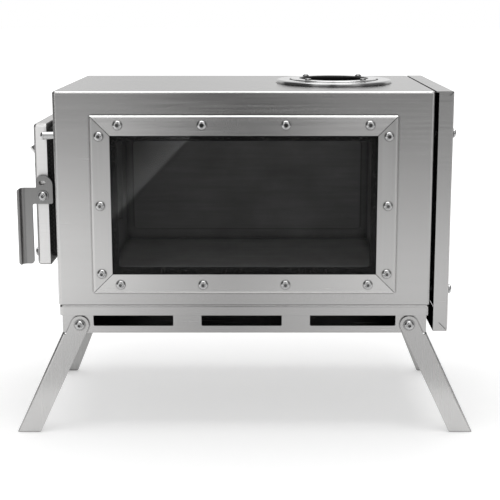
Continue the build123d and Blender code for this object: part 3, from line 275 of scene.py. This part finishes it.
def brushed_steel(name, tone, grain, roughness=0.26, anisotropy=0.6, seam=SEAM_SHADE, aside=1.0):
    """Steel brushed along the grain axis. Faces that do not look to the front have the share aside
    of its tone as painted shade, and seams get painted shade in the colour and the gloss's tint."""
    material, tree, shader = shaded_material(name)
    streak = noise(tree, along_grain(STREAK_GRAINS, grain), detail=4.0, roughness=0.6)
    hair = noise(tree, along_grain(HAIR_GRAINS, grain))
    cloud = noise(tree, CLOUD_GRAINS)
    light = grey(tone * (1 + STREAK_CONTRAST), STEEL_WARMTH)
    dark = grey(tone * (1 - STREAK_CONTRAST), STEEL_WARMTH)
    faded = grey(tone * CLOUD_TONE, STEEL_WARMTH)
    brushed = blend_colour(tree, between(tree, streak, 0.0, 1.0), dark, light)
    colour = blend_colour(tree, between(tree, cloud, 0.0, CLOUD_SHARE, *CLOUD_SPAN), brushed, faded)
    # Painted shade on the faces turned from the front.
    if aside < 1.0:
        colour = painted_side_shade(tree, colour, aside)
    # Painted shade in seams: the colour and the gloss's tint are darkened where another face is near.
    feed(tree, painted_crease_shade(tree, colour, *seam), shader.inputs["Base Color"])
    feed(tree, painted_crease_shade(tree, STEEL_EDGE, *seam), shader.inputs["Specular Tint"])
    sheen = between(tree, streak, roughness - SHEEN_SPREAD, roughness + SHEEN_SPREAD)
    feed(tree, sheen, shader.inputs["Roughness"])
    shader.inputs["Metallic"].default_value = 1.0
    shader.inputs["Anisotropic"].default_value = anisotropy
    feed(tree, grain_tangent(tree, grain), shader.inputs["Tangent"])
    bump(tree, shader, hair, HAIR_DEPTH, HAIR_STRENGTH)
    return material


def bright_steel(name, tone, roughness):
    """Turned or rolled steel of the screws, sleeves and pins."""
    material, tree, shader = shaded_material(name)
    speck = noise(tree, SPECK_GRAINS, detail=3.0)
    turned = blend_colour(tree, between(tree, speck, 0.0, 1.0), grey(tone * TURNED_TONE), grey(tone))
    # Painted shade where the screw meets other faces.
    feed(tree, painted_crease_shade(tree, turned, *SCREW_SEAM_SHADE), shader.inputs["Base Color"])
    sheen = between(tree, speck, roughness - TURNED_SMOOTHER, roughness + TURNED_ROUGHER)
    feed(tree, sheen, shader.inputs["Roughness"])
    shader.inputs["Metallic"].default_value = 1.0
    bump(tree, shader, speck, TURNED_DEPTH, TURNED_STRENGTH)
    return material


def heated_steel(name, tone, depth=0.15):
    """The firebox plates, darkened by heat and soot, and down to depth of their colour in corners."""
    material, tree, shader = shaded_material(name)
    soot = noise(tree, SOOT_GRAINS, detail=5.0, roughness=0.6)
    streak = noise(tree, ROLLING_GRAINS, detail=3.0)
    scale = noise(tree, SPECK_GRAINS, detail=3.0)
    dark = grey(tone * (1 - PLATE_CONTRAST))
    light = grey(tone * (1 + PLATE_CONTRAST))
    plate = blend_colour(tree, between(tree, streak, 0.0, 1.0), dark, light)
    black = grey(tone * SOOT_TONE, SOOT_WARMTH)
    sooty = blend_colour(tree, between(tree, soot, 0.0, SOOT_SHARE), plate, black)
    # Painted shade in the firebox's corners, besides the soot.
    feed(tree, painted_crease_shade(tree, sooty, FIREBOX_SHADE_REACH, depth), shader.inputs["Base Color"])
    feed(tree, between(tree, soot, *SOOT_ROUGHNESS), shader.inputs["Roughness"])
    shader.inputs["Metallic"].default_value = HEATED_METALLIC
    shader.inputs["Specular IOR Level"].default_value = HEATED_SPECULAR
    bump(tree, shader, scale, SCALE_DEPTH, SCALE_STRENGTH)
    return material


def collar_black_bore(name, tone, axis, bore):
    """Steel collar whose bore is black. The axis is a point on the collar's own axis."""
    material, tree, surface = bare_material(name)
    steel = tree.nodes.new("ShaderNodeBsdfPrincipled")
    speck = noise(tree, ROLLED_GRAINS, detail=3.0)
    rolled = blend_colour(tree, between(tree, speck, 0.0, 1.0), grey(tone * ROLLED_TONE), grey(tone))
    # Painted shade where the collar meets other faces.
    feed(tree, painted_crease_shade(tree, rolled, *SEAM_SHADE), steel.inputs["Base Color"])
    steel.inputs["Metallic"].default_value = 1.0
    steel.inputs["Roughness"].default_value = COLLAR_ROUGHNESS
    bore_black = tree.nodes.new("ShaderNodeBsdfPrincipled")
    bore_black.inputs["Base Color"].default_value = grey(BORE_BLACK_TONE)
    bore_black.inputs["Roughness"].default_value = BORE_BLACK_ROUGHNESS
    bore_black.inputs["Specular IOR Level"].default_value = BORE_BLACK_SPECULAR
    from_axis = vector_math(tree, "SUBTRACT", on_piece(tree), axis)
    level = vector_math(tree, "MULTIPLY", from_axis, (1.0, 1.0, 0.0))
    radius = vector_math(tree, "LENGTH", level, result="Value")
    edge_low, edge_high = BORE_BLACK_EDGE
    mix = tree.nodes.new("ShaderNodeMixShader")
    feed(tree, between(tree, radius, 0.0, 1.0, bore + edge_low, bore + edge_high), mix.inputs["Fac"])
    feed(tree, bore_black.outputs["BSDF"], mix.inputs[1])
    feed(tree, steel.outputs["BSDF"], mix.inputs[2])
    feed(tree, mix.outputs["Shader"], surface)
    return material


def woven_fibre(name, tone, thread, fleck):
    """Black glass-fibre tape or rope: crossed threads with a few pale broken fibres, and painted shade
    and highlight on the weave.
    """
    material, tree, shader = shaded_material(name)
    per_metre = 1.0 / thread
    waves = []
    for rise in (1.0, -1.0):
        wave = tree.nodes.new("ShaderNodeTexWave")
        wave.wave_type = "BANDS"
        wave.bands_direction = "DIAGONAL"
        wave.inputs["Scale"].default_value = WEAVE_SCALE
        wave.inputs["Distortion"].default_value = WEAVE_DISTORTION
        wave.inputs["Detail"].default_value = 1.0
        feed(tree, stretched(tree, (per_metre, per_metre, per_metre * rise)), wave.inputs["Vector"])
        waves.append(wave.outputs["Fac"])
    weave = arithmetic(tree, "MULTIPLY", *waves)
    dots = tree.nodes.new("ShaderNodeTexVoronoi")
    dots.inputs["Scale"].default_value = 1.0
    feed(tree, stretched(tree, (per_metre,) * 3), dots.inputs["Vector"])
    broken = between(tree, dots.outputs["Distance"], fleck, 0.0, *FLECK_SPAN)
    side, top = WEAVE_SHADE_SHARES
    # Painted shade on the threads' sides and painted highlight on their tops.
    threads = blend_colour(tree, weave, grey(tone * side), grey(tone * top, THREAD_WARMTH))
    feed(tree, blend_colour(tree, broken, threads, grey(*FLECK_COLOUR)), shader.inputs["Base Color"])
    shader.inputs["Roughness"].default_value = FIBRE_ROUGHNESS
    shader.inputs["Specular IOR Level"].default_value = FIBRE_SPECULAR
    bump(tree, shader, weave, WEAVE_DEPTH, WEAVE_STRENGTH)
    return material


def smoked_glass(name):
    """The heat-resistant pane, with a thin haze of smoke that lets most light through."""
    material, tree, shader = shaded_material(name)
    haze = noise(tree, HAZE_GRAINS, detail=4.0, roughness=0.6)
    thin, thick = SMOKE_TONES
    smoke = blend_colour(tree, between(tree, haze, 0.0, 1.0), grey(thin), grey(thick))
    feed(tree, smoke, shader.inputs["Base Color"])
    feed(tree, between(tree, haze, *SMOKE_ALPHA), shader.inputs["Alpha"])
    feed(tree, between(tree, haze, *GLASS_ROUGHNESS), shader.inputs["Roughness"])
    shader.inputs["Specular IOR Level"].default_value = GLASS_SPECULAR
    return material


def collar_axis():
    """The middle of the flue collar, in its own coordinates."""
    low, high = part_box("flue_collar")
    return nodes["flue_collar"].matrix_world.inverted() @ ((low + high) / 2)


def dress(node, material):
    """The node's own slots take the material."""
    piece = nodes[node]
    if not piece.material_slots:
        piece.data.materials.append(material)
    for slot in piece.material_slots:
        slot.material = material


SCREW_STEEL = bright_steel("screw_steel", 0.52, roughness=0.13)

# Each material with the nodes that have it. The other nodes are screws, nuts, washers, pins and a
# sleeve, and have the screws' steel.
MATERIALS = (
    (
        brushed_steel("shell_steel_along", STEEL_TONE, GRAIN_X, roughness=0.24, anisotropy=0.15),
        ("body_shell", "base_tray", "bottom_pan"),
    ),
    (
        # Painted shade: the cover is darkened near black in the gap beside the body.
        brushed_steel(
            "cover_steel_gap_shaded", STEEL_TONE, GRAIN_X, roughness=0.24, anisotropy=0.15, seam=COVER_GAP_SHADE,
        ),
        ("right_end_cover",),
    ),
    (
        brushed_steel("shell_steel_end", STEEL_TONE, GRAIN_Y),
        ("left_end_plate", "right_end_wall"),
    ),
    (
        brushed_steel("strip_steel_along", 0.7, GRAIN_X, roughness=0.24, anisotropy=0.7),
        ("window_frame_top", "window_frame_bottom"),
    ),
    (
        brushed_steel("strip_steel_upright", 0.64, GRAIN_Z, roughness=0.34),
        ("window_frame_left", "window_frame_right", "hinge_brackets", "door_hinge_leaves"),
    ),
    (
        brushed_steel("leg_steel", 0.56, GRAIN_Z),
        ("leg_front_left", "leg_front_right"),
    ),
    (
        # The rear legs have the front legs' steel at a darker tone: painted shade.
        brushed_steel("rear_leg_steel_shaded", 0.4, GRAIN_Z),
        ("leg_rear_left", "leg_rear_right"),
    ),
    (
        brushed_steel("lever_steel", 0.29, GRAIN_Z, roughness=0.3, anisotropy=0.3),
        ("latch_lever",),
    ),
    (
        # aside gives painted shade on the door's faces that do not look to the front.
        brushed_steel("door_steel", 0.86, GRAIN_X, roughness=0.4, anisotropy=0.85, aside=0.48),
        ("door_panel", "air_slider"),
    ),
    (
        heated_steel("firebox_steel", 0.33, depth=0.05),
        ("rear_liner", "right_liner", "smoke_baffle", "window_retainer", "door_inner_pan", "door_collar"),
    ),
    # Darker and lighter copies of the firebox steel: painted shade on the left liner, painted light on
    # the floor.
    (heated_steel("left_liner_steel_shaded", 0.16), ("left_liner",)),
    (heated_steel("firebox_floor_steel_lit", 0.5), ("firebox_floor",)),
    (collar_black_bore("collar_steel", 0.6, collar_axis(), FLUE_BORE), ("flue_collar",)),
    (bright_steel("ring_steel", 0.4, roughness=0.14), ("flue_ring",)),
    # A darker copy of the screws' steel: painted shade on the spacers and sleeves in the cover's gap; the
    # flue screws take it too.
    (
        bright_steel("dark_screw_steel", 0.2, roughness=0.2),
        ("flue_screws", "end_cover_spacers", "end_cover_sleeves"),
    ),
    (smoked_glass("window_glass_pane"), ("window_glass",)),
    (woven_fibre("gasket_tape_weave", 0.012, thread=1.3 * MM, fleck=0.9), ("window_gasket",)),
    (woven_fibre("gasket_rope_weave", 0.05, thread=2.4 * MM, fleck=0.15), ("door_gasket",)),
)

for node in nodes:
    dress(node, SCREW_STEEL)
for material, names in MATERIALS:
    for node in names:
        dress(node, material)


# Camera


# The photograph's view, in the frame of the stove
SENSOR_WIDTH = 36.0
FOCAL_LENGTH = 75.85
PITCH_DOWN = 9.7
CAMERA_DISTANCE = 1040.7 * MM
CAMERA_RIGHT = 18.0 * MM
CAMERA_HEIGHT = 447.4 * MM
SHIFT_X = -0.024
SHIFT_Y = -0.144


def make_camera():
    """A long lens from the front, a little above, with the frame shifted down."""
    data = bpy.data.cameras.new("photo_camera")
    data.sensor_width = SENSOR_WIDTH
    data.lens = FOCAL_LENGTH
    data.shift_x = SHIFT_X
    data.shift_y = SHIFT_Y
    camera = bpy.data.objects.new("photo_camera", data)
    bpy.context.scene.collection.objects.link(camera)
    camera.location = (CAMERA_RIGHT, front_y - CAMERA_DISTANCE, CAMERA_HEIGHT)
    camera.rotation_euler = (math.radians(90 - PITCH_DOWN), 0.0, 0.0)
    bpy.context.scene.camera = camera


make_camera()


# Studio


WORLD_LEVEL = 0.6
WHITE = (1.0, 1.0, 1.0, 1.0)

FLOOR_REACH = 14.0
FLOOR_ALBEDO = 0.88
# The floor's own light near the stove and far off, and how far off these are
FLOOR_LIFTS = (0.3, 0.75)
FLOOR_LIFT_REACHES = (0.35, 1.2)

# Brightness of the floor card at each distance from the shell's front
FLOOR_LEVELS = (
    (0.12, 0.82), (0.36, 0.78), (0.46, 1.06), (0.62, 1.04), (0.9, 0.92), (1.3, 0.72), (1.9, 0.52),
    (2.6, 0.36), (3.4, 0.27), (5.0, 0.2),
)
FLOOR_CARD_HALF_WIDTH = 3.5
FLOOR_CARD_RISE = 2 * MM
# The dark column down the floor card: its middle, half width and level
COLUMN = (-0.04, 0.28, 0.55)
# The card is brighter on the left than on the right, within this distance of the middle
ACROSS_LEVELS = (1.26, 0.86)
ACROSS_REACH = 0.4

FLAG_TONE = grey(0.02)
# Azimuth, distance, place aside, half width, height, soft edge and opacity of each flag
FLAGS = {
    "front_flag": (0.0, 1.3, -0.04, 0.25, 2.4, 0.23, 0.85),
    "front_wide_flag": (0.0, 5.0, 0.0, 3.5, 1.2, 0.6, 0.85),
    "right_flag": (90.0, 1.6, -0.2, 1.3, 2.0, 0.5, 0.75),
    "left_flag": (270.0, 1.6, 0.2, 1.6, 2.4, 0.5, 0.9),
    "back_flag": (180.0, 2.2, 0.3, 0.5, 1.2, 0.45, 0.12),
}

GLINT_LOW = Vector((-0.2937, -0.907, 0.012))
GLINT_HIGH = Vector((-0.0477, -0.907, 0.269))
GLINT_WIDTH = 0.058
GLINT_STRENGTH = 3.6

LAMP_PLACE = Vector((0.0, -0.05, 1.6))
LAMP_TARGET = Vector((0.0, 0.0, 0.2))
LAMP_SIZE = (1.2, 1.0)
LAMP_RADIANCE = 3.0


def seen_directly(tree):
    """1 for rays from the camera, from gloss and through glass, and 0 for rays that only light."""
    path = tree.nodes.new("ShaderNodeLightPath")
    total = path.outputs["Is Camera Ray"]
    for kind in ("Is Glossy Ray", "Is Transmission Ray"):
        total = arithmetic(tree, "ADD", total, path.outputs[kind])
    return total


def make_world(level):
    """White where it is seen, and a plain level where it lights."""
    world = bpy.data.worlds.new("studio")
    bpy.context.scene.world = world
    world.use_nodes = True
    tree = world.node_tree
    background = tree.nodes["Background"]
    background.inputs["Color"].default_value = WHITE
    strength = between(tree, seen_directly(tree), level, 1.0, 0.0, 1.0)
    feed(tree, strength, background.inputs["Strength"])


def flat_plate(name, corners, material):
    """A plate of the studio with those four corners."""
    mesh = bpy.data.meshes.new(name)
    mesh.from_pydata([Vector(c) for c in corners], [], [tuple(range(len(corners)))])
    plate = bpy.data.objects.new(name, mesh)
    bpy.context.scene.collection.objects.link(plate)
    mesh.materials.append(material)
    return plate


def gloss_card(name, corners, material):
    """A plate that shows in gloss and nowhere else."""
    card = flat_plate(name, corners, material)
    card.visible_camera = False
    card.visible_diffuse = False
    card.visible_transmission = False
    card.visible_shadow = False
    return card


def make_floor():
    """A pale floor that is white where it is lit and keeps the stove's shadow. Far off, where the
    lamp is weak, its colour is lifted more."""
    material, tree, shader = shaded_material("studio_floor")
    shader.inputs["Base Color"].default_value = grey(FLOOR_ALBEDO)
    shader.inputs["Roughness"].default_value = 1.0
    shader.inputs["Specular IOR Level"].default_value = 0.0
    shader.inputs["Emission Color"].default_value = WHITE
    away = vector_math(tree, "LENGTH", on_piece(tree), result="Value")
    lift = between(tree, away, *FLOOR_LIFTS, *FLOOR_LIFT_REACHES)
    strength = arithmetic(tree, "MULTIPLY", lift, seen_directly(tree))
    feed(tree, strength, shader.inputs["Emission Strength"])
    reach = FLOOR_REACH
    corners = ((-reach, -reach, 0), (reach, -reach, 0), (reach, reach, 0), (-reach, reach, 0))
    flat_plate("studio_floor", corners, material)


def make_flag(name, azimuth, distance, aside, half_width, height, soft, opacity):
    """A dark card near the bright metal. It faces the stove from that azimuth, 0 for the front and
    90 for the right, and its edges are soft."""
    material, tree, surface = bare_material(name)
    card = tree.nodes.new("ShaderNodeEmission")
    card.inputs["Color"].default_value = FLAG_TONE
    clear = tree.nodes.new("ShaderNodeBsdfTransparent")
    place = split(tree, on_piece(tree))
    off_centre = arithmetic(tree, "ABSOLUTE", place["X"])
    sides = between(tree, off_centre, opacity, 0.0, half_width - soft, half_width)
    top = between(tree, place["Z"], 1.0, 0.0, height - soft, height)
    mix = tree.nodes.new("ShaderNodeMixShader")
    feed(tree, arithmetic(tree, "MULTIPLY", sides, top), mix.inputs["Fac"])
    feed(tree, clear.outputs["BSDF"], mix.inputs[1])
    feed(tree, card.outputs["Emission"], mix.inputs[2])
    feed(tree, mix.outputs["Shader"], surface)
    corners = ((-half_width, 0, 0), (half_width, 0, 0), (half_width, 0, height), (-half_width, 0, height))
    flag = gloss_card(name, corners, material)
    turn = math.radians(azimuth)
    outward = Vector((math.sin(turn), -math.cos(turn), 0.0))
    along = Vector((math.cos(turn), math.sin(turn), 0.0))
    flag.location = outward * distance + along * aside
    flag.rotation_euler = (0.0, 0.0, turn)


def make_floor_card(name, levels, half_width):
    """A grey card on the floor in front, as bright as the levels at their distances, with a darker
    column down its middle."""
    near, far = levels[0][0], levels[-1][0]
    column_x, column_half, column_level = COLUMN
    material, tree, surface = bare_material(name)
    card = tree.nodes.new("ShaderNodeEmission")
    place = split(tree, on_piece(tree))
    ramp = tree.nodes.new("ShaderNodeValToRGB")
    ramp.color_ramp.interpolation = "B_SPLINE"
    for index, (distance, level) in enumerate(levels):
        if index < 2:
            stop = ramp.color_ramp.elements[index]
        else:
            stop = ramp.color_ramp.elements.new(1.0)
        stop.position = (distance - near) / (far - near)
        stop.color = grey(level)
    feed(tree, between(tree, place["Y"], 1.0, 0.0, -far, -near), ramp.inputs["Fac"])
    off_centre = arithmetic(tree, "ABSOLUTE", arithmetic(tree, "SUBTRACT", place["X"], column_x))
    column = between(tree, off_centre, column_level, 1.0, 0.0, column_half)
    across = between(tree, place["X"], *ACROSS_LEVELS, -ACROSS_REACH, ACROSS_REACH)
    feed(tree, ramp.outputs["Color"], card.inputs["Color"])
    feed(tree, arithmetic(tree, "MULTIPLY", column, across), card.inputs["Strength"])
    feed(tree, card.outputs["Emission"], surface)
    corners = (
        (-half_width, -far, 0), (half_width, -far, 0), (half_width, -near, 0), (-half_width, -near, 0),
    )
    plate = gloss_card(name, corners, material)
    plate.location = (0.0, front_y, FLOOR_CARD_RISE)


def make_glass_glint(name, low, high, width, strength):
    """A tilted bright card that only the window's gloss sees. Its sharp edge runs from low to high
    and it fades out towards the upper left."""
    edge = high - low
    aside = Vector((-edge.z, 0.0, edge.x)).normalized()
    material, tree, surface = bare_material(name)
    glow = tree.nodes.new("ShaderNodeEmission")
    clear = tree.nodes.new("ShaderNodeBsdfTransparent")
    both = tree.nodes.new("ShaderNodeAddShader")
    reach = vector_math(tree, "DOT_PRODUCT", on_piece(tree), aside, result="Value")
    start = low.dot(aside)
    feed(tree, between(tree, reach, strength, 0.0, start, start + width), glow.inputs["Strength"])
    feed(tree, clear.outputs["BSDF"], both.inputs[0])
    feed(tree, glow.outputs["Emission"], both.inputs[1])
    feed(tree, both.outputs["Shader"], surface)
    card = gloss_card(name, (low, high, high + aside * width, low + aside * width), material)
    receivers = bpy.data.collections.new("glass_only")
    receivers.objects.link(nodes["window_glass"])
    card.light_linking.receiver_collection = receivers


def make_lamp(name, place, target, size, radiance):
    """A soft rectangular lamp that points at the target."""
    width, depth = size
    data = bpy.data.lights.new(name, "AREA")
    data.shape = "RECTANGLE"
    data.size = width
    data.size_y = depth
    data.energy = radiance * math.pi * width * depth
    lamp = bpy.data.objects.new(name, data)
    bpy.context.scene.collection.objects.link(lamp)
    lamp.location = place
    lamp.rotation_mode = "QUATERNION"
    lamp.rotation_quaternion = (target - place).to_track_quat("-Z", "Y")


bpy.context.scene.view_settings.view_transform = "Standard"
make_world(WORLD_LEVEL)
make_floor()
make_floor_card("front_card", FLOOR_LEVELS, FLOOR_CARD_HALF_WIDTH)
for name, shape in FLAGS.items():
    make_flag(name, *shape)
make_glass_glint("window_glint", GLINT_LOW, GLINT_HIGH, GLINT_WIDTH, GLINT_STRENGTH)
make_lamp("overhead_box", LAMP_PLACE, LAMP_TARGET, LAMP_SIZE, LAMP_RADIANCE)
